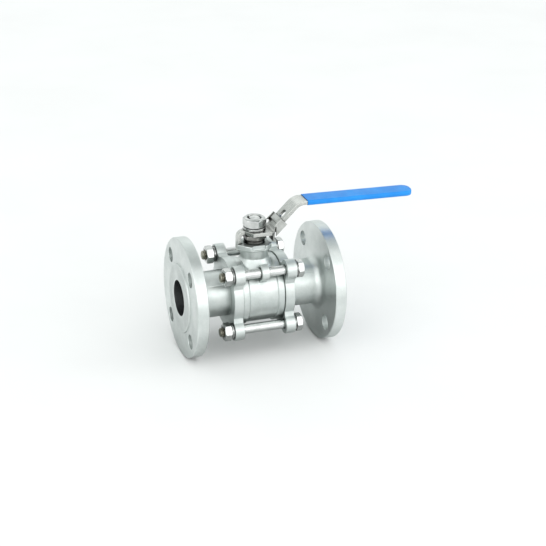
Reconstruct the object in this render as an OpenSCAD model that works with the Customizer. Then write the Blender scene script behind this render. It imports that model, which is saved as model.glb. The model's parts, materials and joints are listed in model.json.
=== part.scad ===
// Three-piece flanged ball valve, full bore, with a lockable hand lever.
// The pipe axis is X, the stem axis is Z, and the origin is the centre of the ball.
// The valve is drawn open: the lever points along +X, over the outlet.

/* [Pipe flanges] */
// Distance between the two raised faces
face_to_face = 165; // [160:1:172]
// Outside diameter of a pipe flange
flange_d = 127; // [125:1:130]
// Thickness of a flange behind its raised face
flange_t = 12.4; // [11:0.2:14]
// Diameter of the raised face
raised_face_d = 73; // [70:1:76]
// Height of the raised face
raised_face_h = 1.6; // [1.2:0.1:2]
// Diameter of the circle of pipe bolts
flange_pcd = 98.4; // [96:0.2:100]
// Diameter of a pipe bolt hole
flange_hole_d = 15.9; // [14:0.1:17]
// Flow bore through the caps, the rings and the ball
bore_d = 38; // [36:0.5:39]
// Outside diameter of the neck behind a flange
neck_d = 49; // [47:0.5:52]
// Radius of the blend between neck and flange
neck_blend = 8; // [5:0.5:10]

/* [Centre body] */
// Half the length of the centre body
body_half = 23; // [22.5:0.1:23.5]
// Diameter of the middle of the barrel
barrel_d = 68.8; // [68:0.2:70]
// Diameter of the raised ring at each end of the barrel
ring_d = 72; // [71.5:0.1:73]
// Length of a raised end ring
ring_w = 6.8; // [6:0.2:8]
// Diameter of the neck that carries the stem
stem_neck_d = 29; // [28:0.5:30]
// Height of the pad's top above the pipe axis
pad_top = 54; // [53.5:0.1:54.5]
// Thickness of the pad
pad_t = 5.6; // [5.4:0.1:6]

/* [End cap plates] */
// Thickness of an end cap's bolted plate
plate_t = 10.4; // [10:0.1:11]
// Diameter of the plate between its ears
plate_d = 75; // [74:0.5:77]
// Radius of an ear
ear_r = 10.6; // [10:0.1:11]
// Distance of a tie bolt from the pipe axis, along Y and along Z
tie_offset = 31; // [30.5:0.1:31.5]

/* [Tie bolts] */
// Thread diameter
tie_d = 10; // [10:0.1:10]
// Clearance hole
tie_hole_d = 11; // [10.8:0.1:11.2]
// Width across the flats of heads and nuts
tie_af = 17; // [16:0.5:17]
// Height of a head
head_h = 6.4; // [6:0.1:7]
// Height of a nut
tie_nut_h = 8; // [7.5:0.1:8.4]
// Thickness of a spring washer
tie_washer_t = 2.5; // [2.2:0.1:2.6]
// Length of a bolt below its head
tie_len = 84; // [82:1:86]

/* [Ball and stem] */
// Diameter of the ball
ball_d = 58; // [57.8:0.1:58]
// Diameter of the stem's shank
stem_d = 14; // [13.9:0.1:14]
// Width across the flats at the top of the stem
stem_af = 10.4; // [10:0.1:11]
// Height of the stem's end above the pipe axis
stem_top = 80.5; // [80:0.1:81]
// Width across the flats of the lever nut and the packing nut
stem_nut_af = 22; // [21:0.5:22]

/* [Lever] */
// Height of the lever plate's underside
lever_z = 64; // [63.8:0.1:64.2]
// Thickness of the lever strip
lever_t = 4; // [3.6:0.1:4.2]
// Width of the lever strip
lever_w = 20.5; // [20:0.5:22]
// Distance of the lever's tip from the stem axis
lever_reach = 174.5; // [168:0.5:180]
// Rise of the strip from the plate to the grip
lever_rise = 28; // [27:0.5:29]
// Fall of the grip over its length, in degrees
grip_fall = 1.3; // [0.8:0.1:1.8]
// Start of the sleeve along X
sleeve_start = 55; // [54:1:60]
// Width of the sleeve
sleeve_w = 22.2; // [22:0.1:24]
// Thickness of the sleeve, top to bottom
sleeve_h = 5.8; // [5.4:0.1:7]
// Diameter of the padlock hole
padlock_d = 9; // [7:0.5:9.5]

/* [Hidden] */
$fn = 96;
eps = 0.5;                                  // overrun of a cutting tool
slack = 0.05;                               // clearance between fitted round faces

// along the pipe
cap_end = face_to_face / 2;
flange_front = cap_end - raised_face_h;
flange_back = flange_front - flange_t;
plate_end = body_half + plate_t;
rim_chamfer = 0.8;
spigot_len = 2.6;
spigot_r = 28.8;
seat_r = 26;
seat_back = 26;
seat_front = 16.5;
seal_w = 3;
seal_r = 32;
cavity_r = 30;
ball_r = ball_d / 2;

// up the stem
collar_r = 10.5;
collar_z = [29.8, 33.2];
washer_z = [33.2, 35.2];
shank_fit = 0.05;
packing_r = 11;
packing_z = 43;
packing_h = 2.6;
gland_z = [packing_z + 3 * packing_h + 0.15, 56];
disc_h = 1.25;
disc_t = 0.8;
packing_nut_z = [gland_z[1] + 2 * disc_h + 0.15, 63];
lock_washer_t = lever_z - packing_nut_z[1];
lock_washer_r = 11;
lock_ear_w = 6;
lock_ear_h = 3;
spring_washer_t = 3;
nut_base = lever_z + lever_t + spring_washer_t;
lever_nut_h = 10;
tang_w = 8;
tang_len = 16;
tang_z = 23.4;
shank_foot = 26;
o_ring_z = 39;
o_ring_r = 0.9;
o_ring_groove = [1.95, 2.2];                // depth and width
flats_z = packing_nut_z[1] - 0.4;
disc_r = 11.2;
split_ring_r = 11.8;
split_cut = 1.2;
split_lean = 30;

// tie bolts
tie_washer_r = 8.4;
stud_end = plate_end + tie_washer_t - tie_len;

// ears, their webs and the lugs, in Y and Z
web_foot = [30, 15.5];
web_shoulder = 0.7;
lug_r = 8.8;
lug_web = 5.7;
lug_half = 4;
lug_foot = [26, 17];

// stops and locking notches of the pad
stop_gap = 0.3;
tab_half = 4;
tab_out = 19.4;
tab_bend = 7.5;
tab_foot = 46.5;
plate_w = 30;
plate_x = [-12, -6, 14.5, 15.8];            // corners of the lever's plate, from tab to slant
pad_far = 20;
pad_near = 16.5;
pad_chamfer = 7.3;
pad_round_r = 14.8;
pad_corner_r = 18.4;
pad_step = 6;
neck_foot_r = 20;
neck_foot_h = 9;
notch_half = 7;
notch_r = 14.4;
notch_floor = pad_top - 4.6;

// lever strip, in the plane of X and Z
mid_z = lever_z + lever_t / 2;
slope = 45;
bend_r_low = 7;
bend_r_high = 14;
slant_x = 18;
crest_x = slant_x + lever_rise;
bend_step = 12;
padlock_s = 20;                             // centre of the padlock hole, up the slant from the lower corner
sleeve_wall = 1.8;
tip_corner = 7;

// locking slide, measured square to the slant from the strip's middle line, or along it
clip_t = 1.6;
clip_gap = 0.3;
clip_x = 20;
clip_step_z = 72;
clip_end = 15;
clip_rise = 5;
clip_drop = 4.6;
roof_len = 6.8;
floor_len = 12;
tongue_x = 18.6;
tongue_t = 2;
tongue_half = 6.4;
tongue_z = 53.4;

function arc(centre, r, from, to) =
    [for (i = [0 : bend_step]) let (a = from + (to - from) * i / bend_step) centre + r * [cos(a), sin(a)]];

// Turns a drawing so that its Z axis lies along +X.
module along_x() rotate([0, 90, 0]) children();

// Extrudes an outline drawn in Y and Z along +X, from x0 to x1.
module slab(x0, x1) translate([x0, 0, 0]) rotate([90, 0, 90]) linear_extrude(x1 - x0) children();

module tube_z(r_out, r_in, z0, z1)
    translate([0, 0, z0]) difference() {
        cylinder(r = r_out, h = z1 - z0);
        translate([0, 0, -eps]) cylinder(r = r_in, h = z1 - z0 + 2 * eps);
    }

// Hexagon with two flats square to the drawing's X axis
module hex(af) rotate(30) circle(d = af / cos(30), $fn = 6);

// Hexagon prism with its corners turned down to a cone at the chosen ends
module hex_body(af, h, ends = [1, 1]) {
    corner = af / 2 / cos(30) + 0.05;
    turn = 1.1;
    intersection() {
        linear_extrude(h) hex(af);
        rotate_extrude() polygon([[0, 0], [corner - turn * 1.7 * ends[0], 0], [corner, turn * ends[0]],
            [corner, h - turn * ends[1]], [corner - turn * 1.7 * ends[1], h], [0, h]]);
    }
}

// Repeats a drawing at the four tie bolts.
module at_ties() for (y = [-1, 1], z = [-1, 1]) translate([0, y * tie_offset, z * tie_offset]) children();

// ---------------------------------------------------------------- castings
module plate_outline() {
    circle(d = plate_d);
    for (quarter = [45 : 90 : 315]) rotate(quarter) {
        reach = tie_offset * sqrt(2);
        translate([reach, 0]) circle(r = ear_r);
        half = ear_r - web_shoulder;
        polygon([web_foot, [reach - 4, half], [reach, half], [reach, -half], [reach - 4, -half],
            [web_foot[0], -web_foot[1]]]);
    }
}

module end_cap() difference() {
    union() {
        along_x() rotate_extrude() polygon(concat(
            [[0, body_half], [neck_d / 2, body_half]],
            [[neck_d / 2, flange_back - neck_blend]],
            arc([neck_d / 2 + neck_blend, flange_back - neck_blend], neck_blend, 180, 90),
            [[flange_d / 2 - rim_chamfer, flange_back], [flange_d / 2, flange_back + rim_chamfer],
             [flange_d / 2, flange_front - rim_chamfer], [flange_d / 2 - rim_chamfer, flange_front],
             [raised_face_d / 2 + 0.4, flange_front], [raised_face_d / 2, cap_end], [0, cap_end]]));
        slab(body_half, plate_end) plate_outline();
        along_x() translate([0, 0, body_half - spigot_len]) cylinder(r = spigot_r, h = spigot_len + 1);
    }
    along_x() cylinder(d = bore_d, h = cap_end + eps);
    along_x() translate([0, 0, body_half - spigot_len - eps])
        cylinder(r = seat_r + slack, h = seat_back - body_half + spigot_len + eps);
    at_ties() along_x() cylinder(d = tie_hole_d, h = plate_end + eps);
    for (quarter = [45 : 90 : 315]) rotate([quarter, 0, 0]) translate([flange_back - eps, flange_pcd / 2, 0])
        along_x() cylinder(d = flange_hole_d, h = flange_t + raised_face_h + 2 * eps);
}

module end_cap_outlet() color("#c9d0cd") end_cap();
module end_cap_inlet() color("#c9d0cd") mirror([1, 0, 0]) end_cap();

module pad_outline() intersection() {
    union() {
        circle(r = pad_round_r);
        polygon([[-pad_far, -tab_half - stop_gap], [-pad_far, -pad_step], [-pad_near + pad_chamfer, -pad_near],
            [pad_near - pad_chamfer, -pad_near], [pad_near, -pad_near + pad_chamfer],
            [pad_near, pad_near - pad_chamfer], [pad_step, pad_far], [tab_half + stop_gap, pad_far],
            [tab_half + stop_gap, -tab_half - stop_gap]]);
    }
    union() {
        circle(r = pad_corner_r);
        for (quarter = [0, 180]) rotate(quarter) square(pad_far + 1);
    }
}

module body() color("#cdd3d0") difference() {
    union() {
        along_x() translate([0, 0, -body_half]) rotate_extrude() polygon([[0, 0], [ring_d / 2, 0],
            [ring_d / 2, ring_w], [barrel_d / 2, ring_w + 0.8], [barrel_d / 2, 2 * body_half - ring_w - 0.8],
            [ring_d / 2, 2 * body_half - ring_w], [ring_d / 2, 2 * body_half], [0, 2 * body_half]]);
        translate([0, 0, cavity_r - 5]) cylinder(d = stem_neck_d, h = pad_top - cavity_r + 4);
        translate([0, 0, cavity_r]) cylinder(r1 = neck_foot_r, r2 = stem_neck_d / 2 - 0.5, h = neck_foot_h);
        translate([0, 0, pad_top - pad_t]) linear_extrude(pad_t) pad_outline();
        for (side = [0, 1]) mirror([0, side, 0]) slab(-lug_half, lug_half) {
            translate([tie_offset, tie_offset]) circle(r = lug_r);
            polygon([[lug_foot[1], lug_foot[0]], lug_foot, [tie_offset + lug_web, tie_offset - lug_web],
                [tie_offset - lug_web, tie_offset + lug_web]]);
        }
    }
    along_x() translate([0, 0, -body_half - eps]) cylinder(r = cavity_r, h = 2 * body_half + 2 * eps);
    for (side = [0, 1]) mirror([side, 0, 0]) along_x() translate([0, 0, body_half - seal_w])
        cylinder(r = seal_r, h = seal_w + eps);
    translate([0, 0, tang_z]) cylinder(r = collar_r + 0.6, h = washer_z[1] - tang_z);
    cylinder(d = stem_d + 2 * shank_fit, h = pad_top + eps);
    translate([0, 0, packing_z]) cylinder(r = packing_r, h = pad_top);
    for (side = [-1, 1]) translate([-body_half, side * tie_offset, tie_offset]) along_x()
        cylinder(d = tie_hole_d, h = 2 * body_half);
    for (turn = [0, -90]) rotate(turn) translate([notch_r, -notch_half, notch_floor])
        cube([pad_far, 2 * notch_half, pad_top]);
}

// ---------------------------------------------------------------- ball and seals
module ball() color("#dfe3e4") difference() {
    sphere(r = ball_r, $fn = 160);
    along_x() translate([0, 0, -ball_r]) cylinder(d = bore_d, h = 2 * ball_r);
    translate([-tang_w / 2 - slack, -ball_r, tang_z - 0.4]) cube([tang_w + 2 * slack, 2 * ball_r, ball_r]);
}

module seat_ring() difference() {
    along_x() translate([0, 0, seat_front]) difference() {
        cylinder(r = seat_r - slack, h = seat_back - seat_front);
        translate([0, 0, -eps]) cylinder(d = bore_d, h = seat_back - seat_front + 2 * eps);
    }
    sphere(r = ball_r + slack, $fn = 160);
}

module seat_outlet() color("#f4f4f0") seat_ring();
module seat_inlet() color("#f4f4f0") mirror([1, 0, 0]) seat_ring();

module seal_ring() along_x() tube_z(seal_r - slack, spigot_r + slack, body_half - seal_w, body_half);

module body_seal_outlet() color("#f4f4f0") seal_ring();
module body_seal_inlet() color("#f4f4f0") mirror([1, 0, 0]) seal_ring();

// ---------------------------------------------------------------- stem group
// Block that cuts a flat on one side of the stem, at a distance from its axis
module flat_cut(side, from_axis, z0, z1)
    translate([side > 0 ? from_axis : -from_axis - stem_d, -stem_d, z0]) cube([stem_d, 2 * stem_d, z1 - z0]);

module stem() color("#b9bfc2") difference() {
    union() {
        translate([0, 0, shank_foot]) cylinder(d = stem_d, h = stem_top - shank_foot);
        translate([0, 0, collar_z[0]]) cylinder(r = collar_r, h = collar_z[1] - collar_z[0]);
        intersection() {
            translate([-tang_w / 2, -tang_len / 2, tang_z]) cube([tang_w, tang_len, collar_z[0] - tang_z + 1]);
            translate([0, 0, tang_z]) cylinder(d = tang_len, h = collar_z[1] - tang_z);
        }
    }
    for (side = [-1, 1]) {
        flat_cut(side, stem_af / 2, flats_z, stem_top + eps);
        flat_cut(side, tang_w / 2, tang_z - eps, collar_z[0]);
    }
    translate([0, 0, o_ring_z]) rotate_extrude()
        translate([stem_d / 2 - o_ring_groove[0], -o_ring_groove[1] / 2]) square(o_ring_groove + [1, 0]);
}

module stem_o_ring() color("#2b2b2b") translate([0, 0, o_ring_z]) rotate_extrude()
    translate([stem_d / 2 - o_ring_r + 0.02, 0]) circle(r = o_ring_r, $fn = 24);

module stem_thrust_washer() color("#f4f4f0")
    tube_z(collar_r - 0.1, stem_d / 2 + 0.1, washer_z[0] + slack, washer_z[1]);

// One chevron of the packing set
module packing_ring(level) translate([0, 0, packing_z + level * packing_h]) rotate_extrude()
    polygon([[stem_d / 2 + slack, 0.5], [(stem_d / 2 + packing_r) / 2, 1.2], [packing_r - slack, 0.5],
        [packing_r - slack, packing_h - 0.75], [(stem_d / 2 + packing_r) / 2, packing_h],
        [stem_d / 2 + slack, packing_h - 0.75]]);

module packing_ring_lower() color("#eceae2") packing_ring(0);
module packing_ring_middle() color("#eceae2") packing_ring(1);
module packing_ring_upper() color("#eceae2") packing_ring(2);

module gland_bush() color("#c2c7c9") tube_z(packing_r - 0.15, stem_d / 2 + 0.1, gland_z[0], gland_z[1]);

// A Belleville washer, its rim lower than its hole when up is 1
module disc_spring(z0, up) translate([0, 0, z0]) rotate_extrude() {
    lift = disc_h - disc_t - 0.05;
    hole_r = stem_d / 2 + 0.15;
    polygon([[hole_r, up * lift], [disc_r, (1 - up) * lift], [disc_r, (1 - up) * lift + disc_t],
        [hole_r, up * lift + disc_t]]);
}

module disc_spring_lower() color("#9aa0a4") disc_spring(gland_z[1] + 0.1, 1);
module disc_spring_upper() color("#9aa0a4") disc_spring(gland_z[1] + 0.1 + disc_h, 0);

module bored_nut(af, h, ends) difference() {
    hex_body(af, h, ends);
    translate([0, 0, -eps]) cylinder(d = stem_d + 2 * slack, h = h + 2 * eps);
}

module packing_nut() color("#d3d7d8") translate([0, 0, packing_nut_z[0]])
    bored_nut(stem_nut_af, packing_nut_z[1] - packing_nut_z[0], [0, 1]);

// Washer keyed on the stem's flats, one ear turned down beside the nut
module packing_lock_washer() color("#c8cccd") translate([0, 0, packing_nut_z[1]]) {
    nut_flat = stem_nut_af / 2 + 0.2;
    difference() {
        union() {
            cylinder(r = lock_washer_r, h = lock_washer_t);
            translate([nut_flat - 1, -lock_ear_w / 2, 0]) cube([1 + lock_washer_t, lock_ear_w, lock_washer_t]);
        }
        translate([0, 0, -eps]) stem_hole(lock_washer_t + 2 * eps);
    }
    translate([nut_flat, -lock_ear_w / 2, -lock_ear_h])
        cube([lock_washer_t, lock_ear_w, lock_ear_h + lock_washer_t / 2]);
}

// Double-D hole that fits over the stem's flats
module stem_hole(h) intersection() {
    cylinder(d = stem_d + 0.2, h = h);
    translate([-stem_af / 2 - slack, -10, 0]) cube([stem_af + 2 * slack, 20, h]);
}

// Split ring with a helical set, drawn flat
module lever_spring_washer() color("#d8dcdd") difference() {
    tube_z(split_ring_r, stem_d / 2 + 0.3, lever_z + lever_t, nut_base);
    translate([split_ring_r, 0, nut_base - spring_washer_t / 2]) split_block();
}

// Leaning block that cuts the split of a spring washer
module split_block() rotate([split_lean, 0, 0]) cube([split_ring_r, split_cut, split_ring_r], center = true);

module lever_nut() color("#e1e4e5") translate([0, 0, nut_base]) bored_nut(stem_nut_af, lever_nut_h, [1, 1]);

// ---------------------------------------------------------------- lever
low_tan = bend_r_low * tan(slope / 2);
high_turn = slope + grip_fall;
high_tan = bend_r_high * tan(high_turn / 2);
crest = [crest_x, mid_z + lever_rise];
low_centre = [slant_x - low_tan, mid_z + bend_r_low];
high_start = crest - high_tan * [cos(slope), sin(slope)];
high_centre = high_start + bend_r_high * [sin(slope), -cos(slope)];
fall_up = [sin(grip_fall), cos(grip_fall)];

// A point on the grip's middle line, moved up by d
function on_grip(x, d) = [x, crest[1] - (x - crest[0]) * tan(grip_fall)] + d * fall_up;

function reversed(list) = [for (i = [len(list) - 1 : -1 : 0]) list[i]];

// One face of the strip from stop tab to tip, d above its middle line
function strip_side(d) = concat(
    [[-tab_out + lever_t / 2 - d, tab_foot]],
    reversed(arc([-tab_out + tab_bend, lever_z + lever_t - tab_bend], tab_bend - lever_t / 2 + d, 90, 180)),
    arc(low_centre, bend_r_low - d, -90, -90 + slope),
    arc(high_centre, bend_r_high + d, 90 + slope, 90 - grip_fall),
    [on_grip(lever_reach + 5, d)]);

// Extrudes an outline drawn in X and Z to both sides of the XZ plane.
module across(width) translate([0, width / 2, 0]) rotate([90, 0, 0]) linear_extrude(width) children();

// Strip outline seen from above, from the corners of its near end to its round far corners
module strip_plan(near, x1, width, corner_r) {
    centre = [x1 - corner_r, width / 2 - corner_r];
    polygon(concat(near, arc(centre, corner_r, 90, 0), arc([centre[0], -centre[1]], corner_r, 0, -90),
        [for (c = reversed(near)) [c[0], -c[1]]]));
}

module lever_plan() strip_plan([[-tab_out - 1, tab_half], [plate_x[0], tab_half], [plate_x[1], plate_w / 2],
    [plate_x[2], plate_w / 2], [plate_x[3], lever_w / 2]], lever_reach, lever_w, tip_corner);

module lever() color("#d6dad8") difference() {
    intersection() {
        across(40) polygon(concat(strip_side(lever_t / 2), reversed(strip_side(-lever_t / 2))));
        linear_extrude(200) lever_plan();
    }
    translate([0, 0, lever_z - eps]) stem_hole(lever_t + 2 * eps);
    on_slant(padlock_s) translate([0, 0, -10]) cylinder(d = padlock_d, h = 20);
}

// Moves a drawing up the slant by s, its X axis along the slant and its Z axis square to it.
module on_slant(s)
    translate([slant_x, 0, mid_z] + s * [cos(slope), 0, sin(slope)]) rotate([0, -slope, 0]) children();

module grip_block(x0, x1, width, height, corner_r) intersection() {
    across(width + 2) polygon([on_grip(x0 - 1, height / 2), on_grip(x1 + 1, height / 2),
        on_grip(x1 + 1, -height / 2), on_grip(x0 - 1, -height / 2)]);
    linear_extrude(200) strip_plan([[x0, width / 2]], x1, width, corner_r);
}

module lever_sleeve() color("#4aa0f0") difference() {
    grip_block(sleeve_start, lever_reach + sleeve_wall, sleeve_w, sleeve_h, tip_corner + 1);
    grip_block(sleeve_start - 1, lever_reach + slack, lever_w + 2 * slack, lever_t + 2 * slack,
        tip_corner + slack);
}

// ---------------------------------------------------------------- locking slide
// Height d above the strip's middle line, at x
function slant_z(x, d) = mid_z + (x - slant_x) * tan(slope) + d / cos(slope);

module locking_slide() color("#dde0df") {
    wall_in = lever_w / 2 + clip_gap;
    roof = lever_t / 2 + clip_gap;
    // two side walls that stand proud of the strip, cut off upright at their lower ends
    for (side = [0, 1]) mirror([0, side, 0]) difference() {
        on_slant(0) translate([-clip_drop * 2, wall_in, -clip_drop])
            cube([clip_end + clip_drop * 2, clip_t, clip_drop + clip_rise]);
        cube([clip_x, 40, clip_step_z]);
    }
    // roof over the strip, and a floor below it
    for (web = [[roof_len, roof], [floor_len, -roof - clip_t]])
        on_slant(0) translate([clip_end - web[0], -wall_in - clip_t / 2, web[1]])
            cube([web[0], 2 * wall_in + clip_t, clip_t]);
    // tongue that drops from the floor into a notch of the pad
    root_x = tongue_x + 6;
    across(2 * tongue_half) polygon([[tongue_x, tongue_z], [tongue_x + tongue_t, tongue_z],
        [tongue_x + tongue_t, slant_z(tongue_x + tongue_t, -roof - clip_t)],
        [root_x, slant_z(root_x, -roof - clip_t)], [root_x, slant_z(root_x, -roof)],
        [tongue_x, slant_z(tongue_x, -roof)]]);
}

// ---------------------------------------------------------------- tie bolts
module tie_bolts() color("#e3e6e6") at_ties() {
    along_x() translate([0, 0, stud_end]) cylinder(d = tie_d, h = tie_len + 1);
    along_x() translate([0, 0, plate_end + tie_washer_t]) hex_body(tie_af, head_h, [0, 1]);
}

module tie_nuts() color("#dfe2e2") at_ties() difference() {
    along_x() translate([0, 0, -plate_end - tie_washer_t - tie_nut_h]) hex_body(tie_af, tie_nut_h, [1, 1]);
    along_x() translate([0, 0, stud_end]) cylinder(d = tie_d + 2 * slack, h = tie_len);
}

module tie_washer() difference() {
    along_x() tube_z(tie_washer_r, tie_d / 2 + 0.3, 0, tie_washer_t);
    translate([tie_washer_t / 2, 0, tie_washer_r]) rotate([0, 0, 90]) rotate([0, 90, 0]) split_block();
}

module head_spring_washers() color("#cfd3d4") at_ties() translate([plate_end, 0, 0]) tie_washer();
module nut_spring_washers() color("#cfd3d4") at_ties() translate([-plate_end - tie_washer_t, 0, 0]) tie_washer();

body();
end_cap_inlet();
end_cap_outlet();
ball();
seat_inlet();
seat_outlet();
body_seal_inlet();
body_seal_outlet();
stem();
stem_thrust_washer();
stem_o_ring();
packing_ring_lower();
packing_ring_middle();
packing_ring_upper();
gland_bush();
disc_spring_lower();
disc_spring_upper();
packing_nut();
packing_lock_washer();
lever();
lever_sleeve();
lever_spring_washer();
lever_nut();
locking_slide();
tie_bolts();
tie_nuts();
head_spring_washers();
nut_spring_washers();
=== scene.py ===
"""Looks of the three-piece flanged ball valve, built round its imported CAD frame.

Lengths are in millimetres and become metres by MM. Lengths in materials, lights and cards are in metres.
"""
import json
import math

import bmesh
import bpy
from mathutils import Matrix, Vector, noise

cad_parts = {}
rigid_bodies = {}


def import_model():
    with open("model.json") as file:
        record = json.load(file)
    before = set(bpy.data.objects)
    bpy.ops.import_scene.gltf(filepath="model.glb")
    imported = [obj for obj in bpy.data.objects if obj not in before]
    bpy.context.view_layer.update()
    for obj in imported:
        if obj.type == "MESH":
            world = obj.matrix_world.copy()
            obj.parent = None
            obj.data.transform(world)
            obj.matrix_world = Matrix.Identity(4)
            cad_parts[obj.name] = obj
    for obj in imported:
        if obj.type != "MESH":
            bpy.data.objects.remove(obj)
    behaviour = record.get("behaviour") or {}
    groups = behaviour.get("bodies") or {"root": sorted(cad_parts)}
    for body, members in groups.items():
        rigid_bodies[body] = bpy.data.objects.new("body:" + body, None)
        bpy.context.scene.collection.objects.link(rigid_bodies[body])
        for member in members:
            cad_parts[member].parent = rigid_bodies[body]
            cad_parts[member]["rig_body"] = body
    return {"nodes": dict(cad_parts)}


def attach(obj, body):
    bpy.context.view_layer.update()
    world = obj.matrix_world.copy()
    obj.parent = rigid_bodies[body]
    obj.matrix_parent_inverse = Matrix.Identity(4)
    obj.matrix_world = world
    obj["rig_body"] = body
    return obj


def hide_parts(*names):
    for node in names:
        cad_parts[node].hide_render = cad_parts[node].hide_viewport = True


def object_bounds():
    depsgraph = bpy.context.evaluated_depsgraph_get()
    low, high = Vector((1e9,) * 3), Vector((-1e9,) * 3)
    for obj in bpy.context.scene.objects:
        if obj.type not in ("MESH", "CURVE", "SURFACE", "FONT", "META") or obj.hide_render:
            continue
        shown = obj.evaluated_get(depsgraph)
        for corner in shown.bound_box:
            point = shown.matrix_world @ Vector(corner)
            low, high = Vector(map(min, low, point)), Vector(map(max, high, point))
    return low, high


MM = 0.001
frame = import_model()
cad_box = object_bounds()
nodes = frame["nodes"]
scene = bpy.context.scene

# ---------------------------------------------------------------- sizes that the CAD part fixes
TIE_OFFSET = 31.0
TIE_R = 5.0
TIE_AF = 17.0
PLATE_END = 33.4
TIE_WASHER = (5.3, 8.35, 2.5)               # inner radius, outer radius, thickness
STUD_END = -48.1
HEAD_H = 6.4
TIE_NUT_H = 8.0
STEM_R = 7.0
STEM_FLAT = 5.2
STEM_TOP = 80.5
FLATS_Z = 62.6
STEM_NUT_AF = 22.0
LEVER_NUT = (71.0, 81.0)
PACKING_NUT = (58.65, 63.0)
LEVER_WASHER = (7.3, 11.75, 68.0, 71.0)     # inner radius, outer radius, lower and upper face
FACE_X = 82.5
BORE_R = 19.0
RAISED_R = 36.0
CREST = (46.0, 94.0)
GRIP_FALL = math.radians(1.3)
LEVER_T = 4.0
LEVER_TIP = 174.5
TIP_CORNER = 7.0
PADLOCK_R = 4.5
PADLOCK_AT = (32.142, 0.0, 80.142)
SLEEVE = (55.0, 176.3)
SLEEVE_HALF = (11.1, 2.9)
SLEEVE_CORNER = 8.0
PLATE_Z = 66.0                              # middle of the lever's strip at its plate
PLATE_HALF = 15.0
PLATE_X = (-12.0, -6.0, 14.5, 15.8)         # corners of the plan, from the tab to the slant
STRIP_HALF = 10.25
TAB = (-17.4, 46.5, 5.5)                    # middle of the stop tab in x, its foot and its bend's radius
TAB_HALF = 4.0
SLANT_FOOT_X = 18.0
BENDS = (7.0, 14.0)                         # middle radii of the lower and upper bend
SLANT = 45.0                                # degrees
NECK_R = 24.5
THREAD_START = 58.0                         # foot of the stem's thread
COLLAR = (10.5, 29.8, 33.2)                 # radius, lower and upper face
RING_GROOVE = (5.05, 37.9, 40.1)            # radius at its floor, lower and upper side
TANG = (8.0, 4.0, 23.4)                     # half length, half width and foot
STUD_THREAD_END = -21.0
PITCH = 1.5
FLOOR_Z = cad_box[0].z


# ---------------------------------------------------------------- node helpers
def node_tree(name):
    made = bpy.data.materials.new(name)
    made.use_nodes = True
    tree = made.node_tree
    return made, tree, tree.nodes["Principled BSDF"]


def link(tree, source, target):
    tree.links.new(source, target)


def position(tree, stretch=(1, 1, 1)):
    """Object coordinates, scaled per axis."""
    coordinates = tree.nodes.new("ShaderNodeTexCoord")
    mapping = tree.nodes.new("ShaderNodeMapping")
    mapping.inputs["Scale"].default_value = stretch
    link(tree, coordinates.outputs["Object"], mapping.inputs["Vector"])
    return mapping.outputs["Vector"]


def speckle(tree, scale, detail=4.0, rough=0.55, stretch=(1, 1, 1)):
    """Noise whose cells are about 1 / scale metres across."""
    made = tree.nodes.new("ShaderNodeTexNoise")
    made.inputs["Scale"].default_value = scale
    made.inputs["Detail"].default_value = detail
    made.inputs["Roughness"].default_value = rough
    link(tree, position(tree, stretch), made.inputs["Vector"])
    return made.outputs["Fac"]


def remap(tree, value, low, high, out_low, out_high):
    made = tree.nodes.new("ShaderNodeMapRange")
    for socket, number in zip(("From Min", "From Max", "To Min", "To Max"), (low, high, out_low, out_high)):
        made.inputs[socket].default_value = number
    link(tree, value, made.inputs["Value"])
    return made.outputs["Result"]


def two_tone(tree, value, dark, light, low=0.35, high=0.65):
    ramp = tree.nodes.new("ShaderNodeValToRGB")
    ramp.color_ramp.elements[0].position = low
    ramp.color_ramp.elements[0].color = (*dark, 1)
    ramp.color_ramp.elements[1].position = high
    ramp.color_ramp.elements[1].color = (*light, 1)
    link(tree, value, ramp.inputs["Fac"])
    return ramp.outputs["Color"]


def multiply(tree, first, second, share=1.0):
    mix = tree.nodes.new("ShaderNodeMix")
    mix.data_type, mix.blend_type = "RGBA", "MULTIPLY"
    mix.inputs["Factor"].default_value = share
    link(tree, first, mix.inputs["A"])
    link(tree, second, mix.inputs["B"])
    return mix.outputs["Result"]


def bump(tree, heights):
    """Chains bump nodes over (value, depth in metres, strength) and returns the last normal."""
    normal = None
    for value, depth, strength in heights:
        made = tree.nodes.new("ShaderNodeBump")
        made.inputs["Distance"].default_value = depth
        made.inputs["Strength"].default_value = strength
        link(tree, value, made.inputs["Height"])
        if normal is not None:
            link(tree, normal, made.inputs["Normal"])
        normal = made.outputs["Normal"]
    return normal


def painted_crevice_shade(tree, reach, dark, low=0.35, high=0.85):
    """Painted shade: a tone that darkens the colour where faces close in on each other, standing in for the shade
    there.
    """
    shade = tree.nodes.new("ShaderNodeAmbientOcclusion")
    shade.samples = 8
    shade.inputs["Distance"].default_value = reach
    return two_tone(tree, shade.outputs["AO"], dark, (1, 1, 1), low, high)


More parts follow.
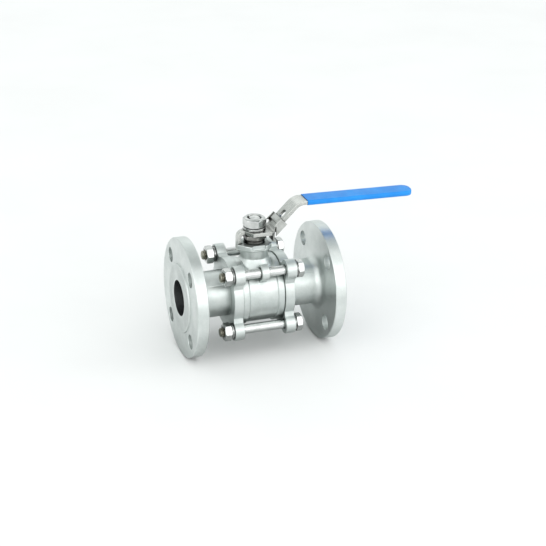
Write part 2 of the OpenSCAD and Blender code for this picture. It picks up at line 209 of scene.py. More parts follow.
# ---------------------------------------------------------------- materials
def metal(name, dark, light, rough, grain=900, grain_depth=2e-5, grain_strength=0.3, patch=60, stretch=(1, 1, 1),
          corner_shade=(0.45, 0.46, 0.45), corner_shade_reach=0.006, corner_shade_range=(0.35, 0.85), wave=None, scratches=0.0):
    """Steel with large tonal patches, fine grain, roughness that varies, scratches and painted shade in its corners."""
    made, tree, shader = node_tree(name)
    tone = two_tone(tree, speckle(tree, patch, 5, 0.6), dark, light)
    tone = multiply(tree, tone, two_tone(tree, speckle(tree, grain, 2, 0.5, stretch), (0.9, 0.9, 0.9), (1, 1, 1)))
    # Painted shade: the colour darkens where faces close in.
    tone = multiply(tree, tone, painted_crevice_shade(tree, corner_shade_reach, corner_shade, *corner_shade_range))
    link(tree, tone, shader.inputs["Base Color"])
    shader.inputs["Metallic"].default_value = 1.0
    smudge = speckle(tree, patch * 3, 6, 0.65, stretch)
    link(tree, remap(tree, smudge, 0.3, 0.7, rough[0], rough[1]), shader.inputs["Roughness"])
    heights = [(speckle(tree, grain, 3, 0.6, stretch), grain_depth, grain_strength)]
    if wave:
        heights.append((speckle(tree, wave[0], 3, 0.5), wave[1], wave[2]))
    if scratches:
        heights.append((speckle(tree, 260, 2, 0.9, (1, 14, 14)), 1.5e-5, scratches))
    link(tree, bump(tree, heights), shader.inputs["Normal"])
    return made


def vinyl(name):
    """Blue dip-moulded vinyl: a soft sheen, a faint orange-peel skin and scuffs."""
    made, tree, shader = node_tree(name)
    tone = two_tone(tree, speckle(tree, 34, 4, 0.55), (0.012, 0.20, 0.62), (0.02, 0.265, 0.72))
    scuffs = two_tone(tree, speckle(tree, 420, 6, 0.75, (0.35, 1, 1)), (1, 1, 1), (0.86, 0.92, 0.97), 0.6, 0.75)
    tone = multiply(tree, tone, scuffs)
    # Painted shade where faces close in.
    tone = multiply(tree, tone, painted_crevice_shade(tree, 0.003, (0.5, 0.55, 0.65)))
    link(tree, tone, shader.inputs["Base Color"])
    link(tree, remap(tree, speckle(tree, 150, 5, 0.6), 0.3, 0.7, 0.3, 0.46), shader.inputs["Roughness"])
    shader.inputs["Specular IOR Level"].default_value = 0.18
    shader.inputs["Coat Weight"].default_value = 0.05
    shader.inputs["Coat Roughness"].default_value = 0.25
    heights = [(speckle(tree, 700, 3, 0.5), 3e-5, 0.22), (speckle(tree, 90, 2, 0.4), 1.2e-4, 0.25)]
    link(tree, bump(tree, heights), shader.inputs["Normal"])
    return made


def polymer(name, dark, light, rough, grain=500, depth=2e-5):
    """PTFE or rubber: no metal, mottled, with a skived or moulded grain."""
    made, tree, shader = node_tree(name)
    # The colour is darkened with painted shade where faces close in.
    tone = multiply(tree, two_tone(tree, speckle(tree, 120, 4), dark, light), painted_crevice_shade(tree, 0.003, (0.6, 0.6, 0.58)))
    link(tree, tone, shader.inputs["Base Color"])
    link(tree, remap(tree, speckle(tree, 260, 4), 0.3, 0.7, rough[0], rough[1]), shader.inputs["Roughness"])
    link(tree, bump(tree, [(speckle(tree, grain, 3), depth, 0.3)]), shader.inputs["Normal"])
    return made


# Each metal below darkens its colour in its corners by the given tone, reach and range: painted shade.
CAST = metal("cast_stainless", (0.585, 0.63, 0.615), (0.705, 0.74, 0.725), (0.38, 0.50), grain=1500, grain_depth=4e-5,
             grain_strength=0.42, patch=45, corner_shade=(0.36, 0.385, 0.375), corner_shade_reach=0.009, wave=(170, 1.6e-4, 0.3))
TURNED = metal("turned_stainless", (0.61, 0.65, 0.635), (0.71, 0.745, 0.73), (0.34, 0.45), grain=1900,
               grain_depth=2e-5, grain_strength=0.25, patch=50, corner_shade=(0.42, 0.44, 0.43), corner_shade_reach=0.006,
               wave=(240, 6e-5, 0.15))
# Painted shade: nearly black steel for the bore, standing in for the shade inside it.
BORE_PAINTED_SHADE = metal("bore_painted_shade", (0.075, 0.08, 0.082), (0.14, 0.147, 0.15), (0.42, 0.58), grain=900, grain_depth=5e-5,
             grain_strength=0.5, patch=90, corner_shade=(0.4, 0.4, 0.4), corner_shade_reach=0.02)
BALL = metal("ball_polished", (0.62, 0.64, 0.65), (0.74, 0.76, 0.77), (0.07, 0.14), grain=2500, grain_depth=5e-6,
             grain_strength=0.1, patch=70, scratches=0.1)
FASTENER = metal("fastener_polished", (0.52, 0.535, 0.525), (0.70, 0.71, 0.70), (0.12, 0.25), grain=1400,
                 grain_depth=1.2e-5, grain_strength=0.22, patch=150, corner_shade=(0.07, 0.073, 0.066), corner_shade_reach=0.007,
                 corner_shade_range=(0.4, 0.9), scratches=0.2)
# Painted shade: a darker copy of the fastener steel for the gland parts under the lever plate, standing in for the
# shade there.
PACKING_PAINTED_SHADE = metal("packing_group_painted_shade", (0.22, 0.22, 0.205), (0.40, 0.40, 0.38), (0.12, 0.22), grain=1400,
                grain_depth=1.2e-5, grain_strength=0.22, patch=150, corner_shade=(0.03, 0.03, 0.027), corner_shade_reach=0.012,
                corner_shade_range=(0.4, 0.95), scratches=0.2)
ROD = metal("rod_ground", (0.64, 0.655, 0.645), (0.78, 0.79, 0.78), (0.12, 0.22), grain=700, grain_depth=1e-5,
            grain_strength=0.25, patch=120, stretch=(6, 1, 1), corner_shade=(0.22, 0.225, 0.21), corner_shade_reach=0.004)
THREAD = metal("thread_dark", (0.30, 0.285, 0.23), (0.50, 0.485, 0.41), (0.22, 0.38), grain=1300, grain_depth=2e-5,
               grain_strength=0.35, patch=220, corner_shade=(0.14, 0.13, 0.10), corner_shade_reach=0.0018)
WASHER = metal("washer_steel", (0.34, 0.35, 0.34), (0.52, 0.53, 0.52), (0.2, 0.34), grain=1300, grain_depth=2e-5,
               grain_strength=0.3, patch=170, corner_shade=(0.05, 0.05, 0.047), corner_shade_reach=0.008, corner_shade_range=(0.4, 0.9))
# Painted shade: dark steel for the disc springs under the lever plate, standing in for the shade there.
DISC_PAINTED_SHADE = metal("disc_spring_painted_shade", (0.12, 0.115, 0.105), (0.25, 0.245, 0.23), (0.16, 0.3), grain=1300, grain_depth=2e-5,
             grain_strength=0.3, patch=160, corner_shade=(0.04, 0.037, 0.033), corner_shade_reach=0.012, corner_shade_range=(0.4, 0.95))
STRIP = metal("lever_strip", (0.50, 0.51, 0.487), (0.64, 0.65, 0.627), (0.2, 0.34), grain=500, grain_depth=1.2e-5,
              grain_strength=0.3, patch=70, stretch=(1, 7, 1), corner_shade=(0.10, 0.10, 0.09), corner_shade_reach=0.011,
              corner_shade_range=(0.45, 0.92), scratches=0.3)
SLIDE = metal("slide_strip", (0.42, 0.43, 0.41), (0.58, 0.59, 0.57), (0.13, 0.24), grain=600, grain_depth=1e-5,
              grain_strength=0.25, patch=110, stretch=(1, 6, 1), corner_shade=(0.045, 0.045, 0.04), corner_shade_reach=0.012,
              corner_shade_range=(0.58, 0.98), scratches=0.2)
VINYL = vinyl("sleeve_vinyl")
PTFE = polymer("ptfe_white", (0.72, 0.72, 0.69), (0.84, 0.84, 0.81), (0.34, 0.5))
RUBBER = polymer("o_ring_rubber", (0.012, 0.012, 0.013), (0.03, 0.03, 0.03), (0.45, 0.65))


# ---------------------------------------------------------------- mesh helpers
def shown(name, mesh, materials):
    piece = bpy.data.objects.new(name, mesh)
    scene.collection.objects.link(piece)
    for made in materials:
        mesh.materials.append(made)
    return piece


def settled(piece):
    """Applies the piece's modifiers."""
    graph = bpy.context.evaluated_depsgraph_get()
    graph.update()
    mesh = bpy.data.meshes.new_from_object(piece.evaluated_get(graph))
    piece.modifiers.clear()
    piece.data = mesh
    return piece


def smooth(piece, weighted=True, crease=None):
    for face in piece.data.polygons:
        face.use_smooth = True
    if crease is not None:
        piece.data.set_sharp_from_angle(angle=math.radians(crease))
    if weighted:
        made = piece.modifiers.new("weighted", "WEIGHTED_NORMAL")
        made.keep_sharp = True
    return piece


def place(piece, body, slot, *stands_for):
    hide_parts(*stands_for)
    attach(piece, body)
    return piece


def copied(node, name, materials):
    """A clean, welded copy of a CAD node's mesh, its flat faces made whole."""
    work = bmesh.new()
    work.from_mesh(nodes[node].data)
    bmesh.ops.remove_doubles(work, verts=work.verts, dist=1e-6)
    bmesh.ops.dissolve_limit(work, angle_limit=math.radians(0.3), verts=work.verts, edges=work.edges)
    work.verts.index_update()
    mesh = bpy.data.meshes.new(name)
    mesh.from_pydata([v.co.copy() for v in work.verts], [], [[v.index for v in f.verts] for f in work.faces])
    work.free()
    mesh.validate()
    return shown(name, mesh, materials)


def eased(node, name, materials, width, segments=2, angle=32):
    """A copy of a CAD node with rounded edges."""
    piece = copied(node, name, materials)
    made = piece.modifiers.new("edges", "BEVEL")
    made.width, made.segments, made.limit_method = width * MM, segments, "ANGLE"
    made.angle_limit = math.radians(angle)
    made.use_clamp_overlap = False
    made.miter_outer = "MITER_ARC"
    return smooth(settled(piece))


def skin(rows, wrap_rows=True, wrap_columns=True, caps=False):
    """Vertices and quads of a surface through rows of points."""
    count, width = len(rows), len(rows[0])
    verts = [p for row in rows for p in row]
    faces = []
    for i in range(count if wrap_rows else count - 1):
        for j in range(width if wrap_columns else width - 1):
            a, b, k = i * width, ((i + 1) % count) * width, (j + 1) % width
            faces.append((a + j, b + j, b + k, a + k))
    if caps:
        faces += [tuple(range(width)), tuple(range(count * width - 1, (count - 1) * width - 1, -1))]
    return verts, faces


def built(name, shells, materials, crease=None, weighted=False):
    """One piece from (vertices, faces, material index) shells, in millimetres."""
    work = bmesh.new()
    for verts, faces, index in shells:
        made = [work.verts.new(Vector(v) * MM) for v in verts]
        for face in faces:
            if len({id(made[i]) for i in face}) > 2:
                work.faces.new([made[i] for i in face]).material_index = index
    bmesh.ops.remove_doubles(work, verts=work.verts, dist=2e-7)
    bmesh.ops.dissolve_degenerate(work, edges=work.edges, dist=2e-7)
    bmesh.ops.recalc_face_normals(work, faces=work.faces)
    mesh = bpy.data.meshes.new(name)
    work.to_mesh(mesh)
    work.free()
    return smooth(shown(name, mesh, materials), weighted, crease)


def along_x(centre):
    """Maps (radius, height, angle) to a point about an axis along X through centre (y, z)."""
    return lambda r, h, a: (h, centre[0] + r * math.cos(a), centre[1] + r * math.sin(a))


def up_z(r, h, a):
    return r * math.cos(a), r * math.sin(a), h


def turned(profile, to_point, steps, start=0.0, sweep=math.tau, closed=True, caps=False):
    """Surface of profile(angle), a list of (radius, height), swept about an axis."""
    whole = sweep >= math.tau
    angles = [start + sweep * i / (steps if whole else steps - 1) for i in range(steps)]
    rows = [[to_point(r, h, a) for r, h in profile(a)] for a in angles]
    return skin(rows, wrap_rows=whole, wrap_columns=closed, caps=caps)


def blended(a, b, reach):
    """The lesser of two lengths, rounded over where they cross."""
    return min(a, b) - max(reach - abs(a - b), 0.0) ** 2 / (4 * reach)


def hex_radius(angle, af, phase, rounding=0.5):
    sides = sorted(af / 2 / max(math.cos(angle - phase - math.radians(60) * k), 0.2) for k in range(6))
    return blended(sides[0], sides[1], rounding)


def spaced(low, high, count):
    return [low + (high - low) * i / (count - 1) for i in range(count)]


def hex_outline(angle, af, low, high, ends, phase, turn=1.1):
    """(radius, height) up the outside of a hexagon whose corners are turned down at the chosen ends."""
    corner = af / 2 / math.cos(math.radians(30)) + 0.05
    flat = hex_radius(angle, af, phase)
    zone = min(turn + 0.7, (high - low) * 0.42)
    heights = spaced(low, low + zone, 10) + spaced(low + zone + 0.1, high - zone - 0.1, 3) + \
        spaced(high - zone, high, 10)
    points = []
    for h in heights:
        cone = corner + 1
        if ends[0]:
            cone = min(cone, corner - 1.7 * (turn - (h - low)))
        if ends[1]:
            cone = min(cone, corner - 1.7 * (turn - (high - h)))
        points.append((blended(flat, cone, 0.25), h))
    edge = 0.22                              # rounding of a plain end
    if not ends[0]:
        points[0] = (points[0][0] - edge, low)
        points.insert(1, (points[1][0] - edge * 0.3, low + edge * 0.3))
    if not ends[1]:
        points[-1] = (points[-1][0] - edge, high)
        points.insert(-1, (points[-2][0] - edge * 0.3, high - edge * 0.3))
    return points


def nut(to_point, af, low, high, ends, phase, bore, turn=1.1):
    """A hexagon nut with countersunk, threaded bore."""
    def profile(angle):
        outside = hex_outline(angle, af, low, high, ends, phase, turn)
        sink = 0.8
        heights = spaced(high - sink, low + sink, 30)
        inside = [(bore + sink, high)] + \
            [(bore + 0.35 * abs(((h / PITCH - angle / math.tau) % 1) * 2 - 1), h) for h in heights] + \
            [(bore + sink, low)]
        return outside + inside
    return turned(profile, to_point, 120)


def thread_radius(h, angle, major, pitch, depth):
    """Radius of a rounded 60 degree thread at a height and angle."""
    wave = abs(((h / pitch - angle / math.tau) % 1) * 2 - 1)
    return major - depth * min(max((wave - 0.12) / 0.72, 0.0), 1.0)


# ---------------------------------------------------------------- end caps
def raised_face_cutter(side):
    """Fine concentric grooves of a machined gasket face."""
    pitch, half, depth = 1.0, 0.36, 0.22
    shells = []
    radius = BORE_R + 2.2
    while radius < RAISED_R - 0.8:
        profile = [(radius - half, FACE_X + 0.15), (radius + half, FACE_X + 0.15), (radius, FACE_X - depth)]
        verts, faces = turned(lambda a: profile, along_x((0, 0)), 128)
        shells.append(([(side * x, y, z) for x, y, z in verts], faces, 0))
        radius += pitch
    cutter = built("face_grooves", shells, [TURNED])
    cutter.modifiers.clear()
    return cutter


def machined(piece):
    """Gives flange faces their turned finish, and bore faces a near-black painted shade."""
    neck_end = 61.5
    for face in piece.data.polygons:
        points = [piece.data.vertices[i].co / MM for i in face.vertices]
        reach = max(math.hypot(p.y, p.z) for p in points)
        if reach < BORE_R + 0.12:
            face.material_index = 2
        elif min(abs(p.x) for p in points) > neck_end:
            face.material_index = 1
    return piece


def parting_line(side, bearing):
    """Low ridge that the mould's joint leaves along a neck, at a bearing round the pipe."""
    start, end, height = 33.2, 61.0, 0.42
    rows = []
    for across in spaced(-1, 1, 9):
        angle = math.radians(bearing + across * 2.2)
        lift = height * math.cos(across * math.pi / 2) ** 2 - 0.08
        rows.append([(side * x, (NECK_R + lift + noise.noise(Vector((x * 0.3, across, side))) * 0.04) * math.cos(angle),
                      (NECK_R + lift) * math.sin(angle)) for x in spaced(start, end, 40)])
    return skin(rows, wrap_rows=False, wrap_columns=False)


def added(piece, verts, faces):
    """Joins a shell to a piece's mesh."""
    work = bmesh.new()
    work.from_mesh(piece.data)
    made = [work.verts.new(Vector(v) * MM) for v in verts]
    fresh = [work.faces.new([made[i] for i in face]) for face in faces]
    bmesh.ops.recalc_face_normals(work, faces=fresh)
    outward = sum(face.normal.dot(Vector((0, face.calc_center_median().y, face.calc_center_median().z)))
                  for face in fresh)
    if outward < 0:
        bmesh.ops.reverse_faces(work, faces=fresh)
    work.to_mesh(piece.data)
    work.free()


for side, node in ((1, "end_cap_outlet"), (-1, "end_cap_inlet")):
    cap = eased(node, node.replace("end_cap", "flanged_end"), [CAST, TURNED, BORE_PAINTED_SHADE], 0.55, 3, 34)
    cutter = raised_face_cutter(side)
    cut = cap.modifiers.new("grooves", "BOOLEAN")
    cut.object, cut.operation, cut.solver = cutter, "DIFFERENCE", "EXACT"
    cap.modifiers.move(len(cap.modifiers) - 1, 0)
    settled(cap)
    bpy.data.objects.remove(cutter)
    machined(cap)
    for bearing in (136, -44):               # over the front of the neck, and opposite
        added(cap, *parting_line(side, bearing))
    smooth(cap)
    place(cap, "valve", "cast_steel", node)

# ---------------------------------------------------------------- body casting
body = copied("body", "body_casting", [CAST])
remesh = body.modifiers.new("cast", "REMESH")
remesh.mode, remesh.voxel_size, remesh.adaptivity = "VOXEL", 0.6 * MM, 0.0
soften = body.modifiers.new("soften", "SMOOTH")
soften.factor, soften.iterations = 0.5, 2
settled(body)
for vertex in body.data.vertices:           # faint unevenness of a cast skin
    swell = noise.noise(vertex.co * 140) * 0.05 + noise.noise(vertex.co * 420) * 0.018
    radial = math.hypot(vertex.co.y, vertex.co.z)
    if radial > 31 * MM and abs(vertex.co.x) < 22 * MM:
        vertex.co += vertex.co.normalized() * min(swell, 0.02) * MM
smooth(body, weighted=False)
place(body, "valve", "cast_steel", "body")

# ---------------------------------------------------------------- ball, seats and seals
EASED = (                                   # node, slot, material, rounding of its edges
    ("ball", "ball_steel", BALL, 0.5),
    ("seat_inlet", "ptfe", PTFE, 0.25),
    ("seat_outlet", "ptfe", PTFE, 0.25),
    ("body_seal_inlet", "ptfe", PTFE, 0.2),
    ("body_seal_outlet", "ptfe", PTFE, 0.2),
    ("stem_thrust_washer", "ptfe", PTFE, 0.15),
    ("packing_ring_lower", "ptfe", PTFE, 0.12),
    ("packing_ring_middle", "ptfe", PTFE, 0.12),
    ("packing_ring_upper", "ptfe", PTFE, 0.12),
    ("gland_bush", "washer_steel", PACKING_PAINTED_SHADE, 0.25),
    ("disc_spring_lower", "disc_steel", DISC_PAINTED_SHADE, 0.16),
    ("disc_spring_upper", "disc_steel", DISC_PAINTED_SHADE, 0.16),
    ("packing_lock_washer", "washer_steel", PACKING_PAINTED_SHADE, 0.15),
    ("locking_slide", "slide_steel", SLIDE, 0.28),
)
owner = {name: obj["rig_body"] for name, obj in nodes.items()}
for node, slot, finish, width in EASED:
    piece = eased(node, node + "_finished", [finish], width, 2 if width < 0.3 else 3)
    place(piece, owner[node], slot, node)

o_ring = copied("stem_o_ring", "stem_o_ring_finished", [RUBBER])
place(smooth(o_ring, weighted=False), owner["stem_o_ring"], "o_ring_rubber", "stem_o_ring")


# ---------------------------------------------------------------- stem
def stem_profile(angle):
    """Tang, collar, shank with an O-ring groove, and a threaded top with two flats."""
    across = abs(math.cos(angle)) or 1e-6
    tang = blended(TANG[0], TANG[1] / across, 0.4)
    collar, low, high = COLLAR
    floor_r, groove_low, groove_high = RING_GROOVE
    edge, foot = 0.3, TANG[2]
    points = [(0, foot), (tang - 0.5, foot), (tang, foot + 0.5)] + [(tang, h) for h in spaced(25, low, 4)]
    points += [(collar - edge, low), (collar, low + edge), (collar, high - edge), (collar - edge, high), (STEM_R, high)]
    points += [(STEM_R, groove_low), (floor_r, groove_low), (floor_r, groove_high), (STEM_R, groove_high)]
    points += [(STEM_R, h) for h in (48, 55, THREAD_START)]
    top, fade, depth = STEM_TOP - 0.02, 2.5, 0.75
    flats = blended(STEM_R, STEM_FLAT / across, 0.2)
    for h in spaced(THREAD_START + 0.1, FLATS_Z - 0.01, 40):
        grown = depth * min((h - THREAD_START) / fade, 1.0)
        points.append((thread_radius(h, angle, STEM_R, PITCH, grown), h))
    for h in spaced(FLATS_Z, top - 0.9, 150):
        points.append((min(thread_radius(h, angle, STEM_R, PITCH, depth), flats), h))
    for step in spaced(0.1, 0.9, 6):
        h = top - 0.9 + step
        points.append((min(thread_radius(h, angle, STEM_R, PITCH, depth), flats, STEM_R - 0.25 - step), h))
    return points + [(STEM_R - 3.2, top), (STEM_R - 3.6, top - 0.12), (0, top - 0.12)]


stem = built("stem_finished", [(*turned(stem_profile, up_z, 144, closed=False), 0)], [FASTENER], crease=40)
place(stem, owner["stem"], "stem_steel", "stem")

for node, limits, ends, turn, finish in (("lever_nut", LEVER_NUT, (1, 1), 1.7, FASTENER),
                                         ("packing_nut", PACKING_NUT, (0, 1), 1.1, PACKING_PAINTED_SHADE)):
    piece = built(node + "_finished", [(*nut(up_z, STEM_NUT_AF, *limits, ends, 0.0, STEM_R + 0.05, turn=turn), 0)],
                  [finish], crease=38)
    place(piece, owner[node], "nut_steel", node)


# ---------------------------------------------------------------- split spring washers
def split_washer(to_point, inner, outer, low, high, middle, gap, rise):
    """Rectangular wire wound once, its two ends a little apart along the axis."""
    start, sweep = middle + gap / 2, math.tau - gap
    edge = 0.25

    def profile(angle):
        share = (angle - start) / sweep - 0.5
        a, b = low + max(rise * share, 0), high + min(rise * share, 0)
        return [(inner + edge, a), (outer - edge, a), (outer, a + edge), (outer, b - edge), (outer - edge, b),
                (inner + edge, b), (inner, b - edge), (inner, a + edge)]
    return turned(profile, to_point, 90, start, sweep, caps=True)


washer = built("lever_spring_washer_finished", [(*split_washer(
    up_z, *LEVER_WASHER, 0.0, 1.4 / LEVER_WASHER[1], 0.5), 0)], [FASTENER], crease=38)
place(washer, owner["lever_spring_washer"], "washer_steel", "lever_spring_washer")


# ---------------------------------------------------------------- tie bolts
def bolt(centre, phase):
    """Shank, rolled thread, domed end and chamfered hexagon head."""
    base = PLATE_END + TIE_WASHER[2]
    thread_end, depth = STUD_THREAD_END, 0.85

    def shank(angle):
        points = [(0, STUD_END), (2.6, STUD_END), (3.4, STUD_END + 0.25)]
        for h in spaced(STUD_END + 0.5, thread_end, 190):
            run_out = min(max((thread_end - h) / 3, 0), 1)
            lead = min(TIE_R, 3.6 + (h - STUD_END) * 1.1)
            points.append((min(thread_radius(h, angle, TIE_R, PITCH, depth * run_out), lead), h))
        return points + [(TIE_R - 0.03, h) for h in spaced(thread_end + 1, base - 0.4, 5)] + [(TIE_R, base)]

    def head(angle):
        outside = hex_outline(angle, TIE_AF, base, base + HEAD_H, (0, 1), phase)
        dish = outside[-1][0] - 0.9
        return [(TIE_R - 0.2, base)] + outside + [(dish, base + HEAD_H - 0.02), (dish - 0.7, base + HEAD_H - 0.22),
                                                  (0, base + HEAD_H - 0.22)]
    to_point = along_x(centre)
    return [(*turned(shank, to_point, 48, closed=False), 1), (*turned(head, to_point, 120, closed=False), 0)]


corners = [(y * TIE_OFFSET, z * TIE_OFFSET) for y in (-1, 1) for z in (-1, 1)]
phase = math.radians(90)                    # flats above and below, as in the CAD part
bolts, nuts, head_washers, nut_washers = [], [], [], []
for centre in corners:
    to_point = along_x(centre)
    bolts += bolt(centre, phase)
    nut_low = -PLATE_END - TIE_WASHER[2] - TIE_NUT_H
    nuts.append((*nut(to_point, TIE_AF, nut_low, nut_low + TIE_NUT_H, (1, 1), phase, TIE_R + 0.05), 0))
    for group, low in ((head_washers, PLATE_END), (nut_washers, -PLATE_END - TIE_WASHER[2])):
        group.append((*split_washer(to_point, TIE_WASHER[0], TIE_WASHER[1], low, low + TIE_WASHER[2],
                                    math.radians(90), 1.3 / TIE_WASHER[1], 0.45), 0))
tie_bolts = built("tie_bolts_finished", bolts, [FASTENER, ROD, THREAD], crease=38)
for face in tie_bolts.data.polygons:
    if face.material_index == 1 and face.center.x / MM < -PLATE_END:
        face.material_index = 2
place(tie_bolts, "valve", "bolt_steel", "tie_bolts")
place(built("tie_nuts_finished", nuts, [FASTENER], crease=38), "valve", "nut_steel", "tie_nuts")
place(built("head_spring_washers_finished", head_washers, [WASHER], crease=38), "valve", "washer_steel",
      "head_spring_washers")
place(built("nut_spring_washers_finished", nut_washers, [WASHER], crease=38), "valve", "washer_steel",
      "nut_spring_washers")


# ---------------------------------------------------------------- lever
def arc(centre, radius, start, end, steps):
    """(x, z, direction of the outward radius) round a bend of the strip's middle line."""
    return [(centre[0] + radius * math.cos(a), centre[1] + radius * math.sin(a), a)
            for a in (math.radians(v) for v in spaced(start, end, steps))]


def lever_path():
    """Stations (x, z, direction square to the strip) from the foot of the stop tab to the tip."""
    slope, fall = SLANT, math.degrees(GRIP_FALL)
    tab_x, tab_foot, tab_r = TAB
    plate_z, slant_x = PLATE_Z, SLANT_FOOT_X
    low_r, high_r = BENDS
    low_tan = low_r * math.tan(math.radians(slope / 2))
    high_tan = high_r * math.tan(math.radians((slope + fall) / 2))
    unit = math.cos(math.radians(slope))
    high_start = (CREST[0] - high_tan * unit, CREST[1] - high_tan * unit)
    stations = [(tab_x, z, math.pi) for z in spaced(tab_foot, plate_z - tab_r - 0.5, 8)]
    stations += arc((tab_x + tab_r, plate_z - tab_r), tab_r, 180, 90, 14)
    beside = 0.02                            # stations just before and after a corner of the plan
    plate = [-11, -9, -7.5, PLATE_X[1] - beside, PLATE_X[1] + beside, -2, 2, 6, 10, 13, PLATE_X[2] - beside,
             PLATE_X[2] + beside]
    stations += [(x, plate_z, math.pi / 2) for x in plate]
    low = arc((slant_x - low_tan, plate_z + low_r), low_r, -90, -90 + slope, 12)
    stations += [(x, z, a + math.pi) for x, z, a in low]
    foot = low[-1]
    for share in spaced(0.08, 0.94, 14):
        stations.append((foot[0] + (high_start[0] - foot[0]) * share, foot[1] + (high_start[1] - foot[1]) * share,
                         math.radians(90 + slope)))
    stations += arc((high_start[0] + high_r * unit, high_start[1] - high_r * unit), high_r, 90 + slope, 90 - fall, 14)
    ends = spaced(58, LEVER_TIP - TIP_CORNER, 30)
    ends += [LEVER_TIP - TIP_CORNER * (1 - math.sin(math.radians(v))) for v in spaced(8, 86, 12)]
    stations += [(x, CREST[1] - (x - CREST[0]) * math.tan(GRIP_FALL), math.radians(90 - fall)) for x in ends]
    return stations


def lever_half_width(x):
    """Plan of the strip: narrow stop tab, wide plate, then the strip with its round tip."""
    halves = (TAB_HALF, TAB_HALF, PLATE_HALF, PLATE_HALF, STRIP_HALF, STRIP_HALF)
    plan = list(zip((-30.0, *PLATE_X, 200.0), halves))
    half = next(a[1] + (b[1] - a[1]) * (x - a[0]) / (b[0] - a[0]) for a, b in zip(plan, plan[1:]) if x <= b[0])
    past = x - (LEVER_TIP - TIP_CORNER)
    return half if past <= 0 else half - TIP_CORNER + math.sqrt(max(TIP_CORNER ** 2 - past ** 2, 0.0))


def strip_section(half_w, half_t, edge):
    """(y, d) round a rectangle with its edges broken."""
    points = []
    for quarter, (sy, sd) in enumerate(((1, 1), (-1, 1), (-1, -1), (1, -1))):
        for step in range(4):
            angle = math.radians(90 * (quarter + step / 3))
            points.append((sy * (half_w - edge) + edge * math.cos(angle),
                           sd * (half_t - edge) + edge * math.sin(angle)))
    return points


def lever_strip():
    rows = []
    for x, z, square in lever_path():
        section = strip_section(lever_half_width(x), LEVER_T / 2, 0.45)
        rows.append([(x + d * math.cos(square), y, z + d * math.sin(square)) for y, d in section])
    piece = built("lever_finished", [(*skin(rows, wrap_rows=False, caps=True), 0)], [STRIP])
    piece.modifiers.clear()
    return piece


def flared(radius_at, half_t):
    """Profile of a cutter whose hole has broken edges on both faces of the strip."""
    def profile(angle):
        r = radius_at(angle)
        return [(0, half_t + 3), (r + 3.5, half_t + 3), (r, half_t - 0.45), (r, 0.45 - half_t), (r + 3.5, -half_t - 3),
                (0, -half_t - 3)]
    return profile


def cut(piece, cutter):
    made = piece.modifiers.new("cut", "BOOLEAN")
    made.object, made.operation, made.solver = cutter, "DIFFERENCE", "EXACT"
    settled(piece)
    bpy.data.objects.remove(cutter)


def double_d(angle):
    return min(STEM_R + 0.1, (STEM_FLAT + 0.05) / max(abs(math.cos(angle)), 1e-6))


lever = lever_strip()
for radius_at, centre, lean in ((double_d, (0, 0, PLATE_Z), 0.0), (lambda a: PADLOCK_R, PADLOCK_AT, -SLANT)):
    cutter = built("lever_hole", [(*turned(flared(radius_at, LEVER_T / 2), up_z, 72, closed=False), 0)], [STRIP])
    cutter.modifiers.clear()
    cutter.matrix_world = Matrix.Translation(Vector(centre) * MM) @ Matrix.Rotation(math.radians(lean), 4, "Y")
    cut(lever, cutter)
smooth(lever, crease=45)
place(lever, owner["lever"], "lever_steel", "lever")


# ---------------------------------------------------------------- lever sleeve
def sleeve_ring(x, shrink, inset):
    """Rounded-rectangle section of the sleeve at x, narrowed by shrink and drawn in by inset."""
    half_w, half_h = SLEEVE_HALF[0] - shrink - inset, SLEEVE_HALF[1] - inset
    corner = min(2.1, half_h - 0.05, half_w - 0.05)
    ring = []
    for quarter, (sy, sz) in enumerate(((1, 1), (-1, 1), (-1, -1), (1, -1))):
        for step in range(9):
            angle = math.radians(90 * (quarter + step / 8))
            y = sy * (half_w - corner) + corner * math.cos(angle)
            d = sz * (half_h - corner) + corner * math.sin(angle)
            ring.append((y, d))
    waver = noise.noise(Vector((x * 0.045, 0.3, 7.1))) * 0.1
    points = []
    for y, d in ring:
        sag = noise.noise(Vector((x * 0.06, y * 0.16, 2.0 + (d > 0)))) * 0.08
        d_out = d * (1 - (0.012 + abs(sag) * 0.35)) if inset == 0 else d
        top = CREST[1] - (x - CREST[0]) * math.tan(GRIP_FALL)
        y_out = y - math.copysign(abs(waver) * 0.5, y)
        points.append((x + d_out * math.sin(GRIP_FALL), y_out, top + d_out * math.cos(GRIP_FALL)))
    return points


def sleeve():
    start, end = SLEEVE
    wall, rows = 0.75, []
    for x in (start + 6, start + 3, start + 0.9):            # inside of the open end
        rows.append(sleeve_ring(x, 0.0, wall))
    rows.append(sleeve_ring(start + 0.15, 0.0, wall - 0.05))
    rows.append(sleeve_ring(start, 0.0, wall / 2))           # rolled lip
    rows.append(sleeve_ring(start + 0.1, 0.0, 0.1))
    for x in spaced(start + 0.4, end - SLEEVE_CORNER - 0.5, 90):
        rows.append(sleeve_ring(x, 0.0, 0.0))
    for turn in spaced(0, math.radians(84), 16):             # round far corners
        x = end - 1.1 - SLEEVE_CORNER + 0.9 + (SLEEVE_CORNER - 0.4) * math.sin(turn)
        rows.append(sleeve_ring(x, (SLEEVE_CORNER - 0.4) * (1 - math.cos(turn)), 0.0))
    for turn in spaced(math.radians(20), math.radians(80), 5):
        rows.append(sleeve_ring(end - 0.75 + 0.45 * math.sin(turn), SLEEVE_CORNER * 0.86, 1.6 * (1 - math.cos(turn))))
    return skin(rows, wrap_rows=False, wrap_columns=True, caps=True)


grip = built("lever_sleeve_finished", [(*sleeve(), 0)], [VINYL], crease=60)
place(grip, owner["lever_sleeve"], "sleeve_vinyl", "lever_sleeve")


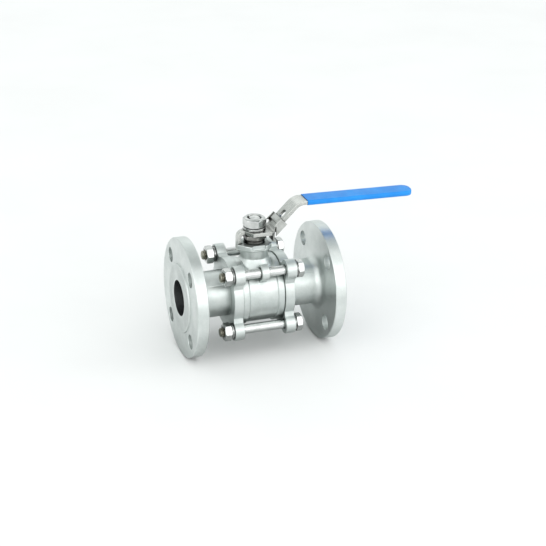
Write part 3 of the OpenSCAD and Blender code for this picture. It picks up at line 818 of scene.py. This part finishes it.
# ---------------------------------------------------------------- camera
def camera():
    """Three-quarter view from the inlet side, a little above the valve."""
    azimuth, elevation, roll = (math.radians(v) for v in (-20.3341, 24.0643, 1.0437))
    target, distance = Vector((0.0216159, 0, 0.0143279)), 1.5398
    back = Vector((math.sin(azimuth) * math.cos(elevation), -math.cos(azimuth) * math.cos(elevation),
                   math.sin(elevation)))
    right = (-back).cross(Vector((0, 0, 1))).normalized()
    up = right.cross(-back)
    x_axis = math.cos(roll) * right + math.sin(roll) * up
    y_axis = -math.sin(roll) * right + math.cos(roll) * up
    data = bpy.data.cameras.new("camera")
    data.sensor_width, data.lens = 36.0, 95.79
    data.clip_start, data.clip_end = 0.05, 20
    made = bpy.data.objects.new("camera", data)
    matrix = Matrix((x_axis, y_axis, back)).transposed().to_4x4()
    matrix.translation = target + back * distance
    made.matrix_world = matrix
    scene.collection.objects.link(made)
    scene.camera = made


camera()


# ---------------------------------------------------------------- studio
def softbox(name, location, size, power):
    """Area light aimed at the valve."""
    data = bpy.data.lights.new(name, "AREA")
    data.shape, data.size, data.size_y = "RECTANGLE", size[0], size[1]
    data.energy = power
    made = bpy.data.objects.new(name, data)
    made.location = location
    made.rotation_mode = "QUATERNION"
    made.rotation_quaternion = (-Vector(location)).to_track_quat("-Z", "Y")
    scene.collection.objects.link(made)


softbox("key_left", (-1.9, -1.1, 1.2), (1.6, 1.6), 5.5)
softbox("key_front", (0.3, -2.2, 1.1), (2.0, 1.0), 5.5)
softbox("right", (2.0, -1.0, 1.0), (1.0, 1.0), 4)
softbox("back", (0.3, 2.0, 1.5), (1.8, 0.8), 1.5)

world = bpy.data.worlds.new("studio")
scene.world = world
world.use_nodes = True
tree = world.node_tree
surroundings = tree.nodes.new("ShaderNodeTexCoord")
split = tree.nodes.new("ShaderNodeSeparateXYZ")
link(tree, surroundings.outputs["Generated"], split.inputs["Vector"])
sky = two_tone(tree, split.outputs["Z"], (0.90, 0.92, 0.915), (0.78, 0.80, 0.795), 0.45, 0.95)
sides = two_tone(tree, remap(tree, split.outputs["Y"], -1, 1, 0, 1), (1, 1, 1), (0.66, 0.68, 0.675), 0.3, 0.8)
sky = multiply(tree, sky, sides)
link(tree, sky, tree.nodes["Background"].inputs["Color"])
tree.nodes["Background"].inputs["Strength"].default_value = 1.0


def floor():
    mesh = bpy.data.meshes.new("floor")
    half = 4.0
    mesh.from_pydata([(-half, -half, FLOOR_Z), (half, -half, FLOOR_Z), (half, half, FLOOR_Z), (-half, half, FLOOR_Z)],
                     [], [(0, 1, 2, 3)])
    made, tree, shader = node_tree("pale_floor")
    tone = two_tone(tree, speckle(tree, 6, 3), (0.79, 0.79, 0.79), (0.81, 0.81, 0.81))
    link(tree, tone, shader.inputs["Base Color"])
    link(tree, remap(tree, speckle(tree, 40, 3), 0.3, 0.7, 0.7, 0.85), shader.inputs["Roughness"])
    shader.inputs["Specular IOR Level"].default_value = 0.2
    shown("floor", mesh, [made])


def reflected_only(name, corners, made):
    """Stage card that only reflections see, so that bright metal keeps its dark streaks."""
    mesh = bpy.data.meshes.new(name)
    mesh.from_pydata(corners, [], [(0, 1, 2, 3)])
    card = shown(name, mesh, [made])
    card.visible_camera = card.visible_diffuse = card.visible_shadow = False
    return card


def shade_card(name, corners, tone):
    made, tree, shader = node_tree(name)
    link(tree, two_tone(tree, speckle(tree, 8, 2), tone, tuple(v * 1.2 for v in tone)), shader.inputs["Base Color"])
    shader.inputs["Roughness"].default_value = 1.0
    reflected_only(name, corners, made)


def shade_below():
    """Soft-edged shade on the floor under the valve."""
    half = 0.16
    made, tree, shader = node_tree("shade_below")
    fade = tree.nodes.new("ShaderNodeTexGradient")
    fade.gradient_type = "SPHERICAL"
    link(tree, position(tree, (1 / half, 1 / half, 1)), fade.inputs["Vector"])
    link(tree, two_tone(tree, fade.outputs["Fac"], (0.9, 0.9, 0.9), (0.42, 0.43, 0.427), 0.02, 0.6),
         shader.inputs["Base Color"])
    shader.inputs["Roughness"].default_value = 1.0
    card = reflected_only("shade_below", [(-half, -half, 0), (half, -half, 0), (half, half, 0), (-half, half, 0)], made)
    card.location = (0, 0.02, FLOOR_Z + 0.0005)


shade_card("card_above", [(-0.5, -0.25, 1.1), (0.6, -0.25, 1.1), (0.6, 0.25, 1.1), (-0.5, 0.25, 1.1)],
           (0.4, 0.415, 0.41))
shade_below()
shade_card("card_right", [(1.5, -0.3, 0.0), (1.5, 1.2, 0.0), (1.5, 1.2, 0.5), (1.5, -0.3, 0.5)],
           (0.06, 0.065, 0.06))
floor()
scene.view_settings.view_transform = "Standard"
scene.view_settings.look = "None"
scene.view_settings.exposure = 0.62
